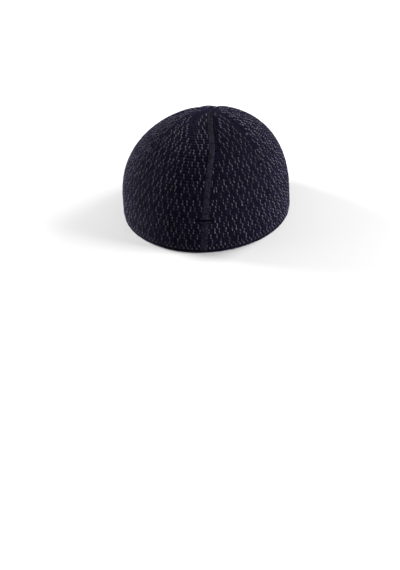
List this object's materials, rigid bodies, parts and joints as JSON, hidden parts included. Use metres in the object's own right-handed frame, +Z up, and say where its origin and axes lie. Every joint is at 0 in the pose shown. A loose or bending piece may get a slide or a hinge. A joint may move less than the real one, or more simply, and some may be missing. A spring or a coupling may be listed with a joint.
{
  "type": "knit prayer cap",
  "caption": "Close-fitting knit prayer cap: a hollow dome with narrowed crown, a hem turned up inside the rim and a plain seam up the back.",
  "frame": {"origin": "on the plane that the rim stands on, under the middle of the cap", "axes": "+Z up through the crown, +Y towards the wearer's front, +X to the wearer's right; the seam is on the -Y side"},
  "size_m": [0.1679, 0.2014, 0.101],
  "materials": {
    "patterned_knit": "dark navy and grey two-yarn knit, matte with a slight bloom",
    "plain_knit": "dark navy plain knit, matte",
    "seam_knit": "dark blue-grey plain knit, matte"
  },
  "bodies": {
    "root": {"knit_crown": "patterned_knit", "turned_hem": "plain_knit", "back_seam": "seam_knit"}
  },
  "joints": []
}
